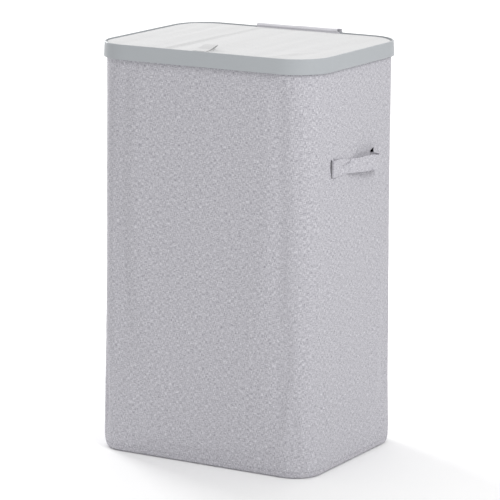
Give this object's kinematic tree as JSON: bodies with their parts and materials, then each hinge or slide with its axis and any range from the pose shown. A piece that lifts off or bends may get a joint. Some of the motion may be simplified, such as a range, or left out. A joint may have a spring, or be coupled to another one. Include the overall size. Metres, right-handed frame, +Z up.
{
  "type": "laundry hamper with lid",
  "caption": "Tall rectangular fabric laundry hamper with rounded corners, a moulded rim, a hinged fabric-covered lid with a pull tab, and strap handles on its sides.",
  "frame": {"origin": "on the floor, under the middle of the hamper's rim", "axes": "+Z up along the hamper's height; the front, with the pull tab, faces -Y; the right handle faces +X"},
  "size_m": [0.3868, 0.288, 0.6035],
  "materials": {
    "cover_fabric": "heather lavender-grey woven linen-look polyester",
    "strap_fabric": "the same woven cloth, folded and stitched",
    "lining_fabric": "thin plain woven lining",
    "underside_fabric": "coarse non-woven underside cloth",
    "lid_fabric": "off-white tightly woven polyester",
    "rim_plastic": "satin blue-grey moulded polypropylene",
    "dark_plastic": "black moulded polypropylene",
    "post_steel": "grey powder-coated steel tube",
    "screw_steel": "zinc-plated steel",
    "hardboard": "pressed brown hardboard"
  },
  "bodies": {
    "body": {"body_cover": "cover_fabric", "underside_panel": "underside_fabric", "base_frame": "dark_plastic", "base_board": "hardboard", "post_front_left": "post_steel", "post_front_right": "post_steel", "post_back_left": "post_steel", "post_back_right": "post_steel", "channel_front_left": "lining_fabric", "channel_front_right": "lining_fabric", "channel_back_left": "lining_fabric", "channel_back_right": "lining_fabric", "top_rim": "rim_plastic", "clamp_ring": "dark_plastic", "rim_screws": "screw_steel", "hinge_strap": "strap_fabric", "handle_right_end_front": "strap_fabric", "handle_right_end_back": "strap_fabric", "handle_left_end_front": "strap_fabric", "handle_left_end_back": "strap_fabric"},
    "lid": {"lid_board": "hardboard", "lid_cover": "lid_fabric", "lid_lining": "lining_fabric", "hinge_strap_leaf": "strap_fabric", "pull_tab_root": "lid_fabric"},
    "pull_tab": {"pull_tab": "lid_fabric"},
    "handle_right": {"handle_right": "strap_fabric"},
    "handle_left": {"handle_left": "strap_fabric"}
  },
  "joints": [
    {"name": "lid_hinge", "type": "hinge", "parent": "body", "child": "lid", "pos_m": [0, 0.14075, 0.6029], "axis": [-1, 0, 0], "range_deg": [0, 175]},
    {"name": "pull_tab_lift", "type": "hinge", "parent": "lid", "child": "pull_tab", "pos_m": [0, -0.1375, 0.5997], "axis": [1, 0, 0], "range_deg": [0, 120]},
    {"name": "handle_right_lift", "type": "hinge", "parent": "body", "child": "handle_right", "pos_m": [0.1783, 0, 0.451], "axis": [0, -1, 0], "range_deg": [0, 90]},
    {"name": "handle_left_lift", "type": "hinge", "parent": "body", "child": "handle_left", "pos_m": [-0.1783, 0, 0.451], "axis": [0, 1, 0], "range_deg": [0, 90]}
  ]
}
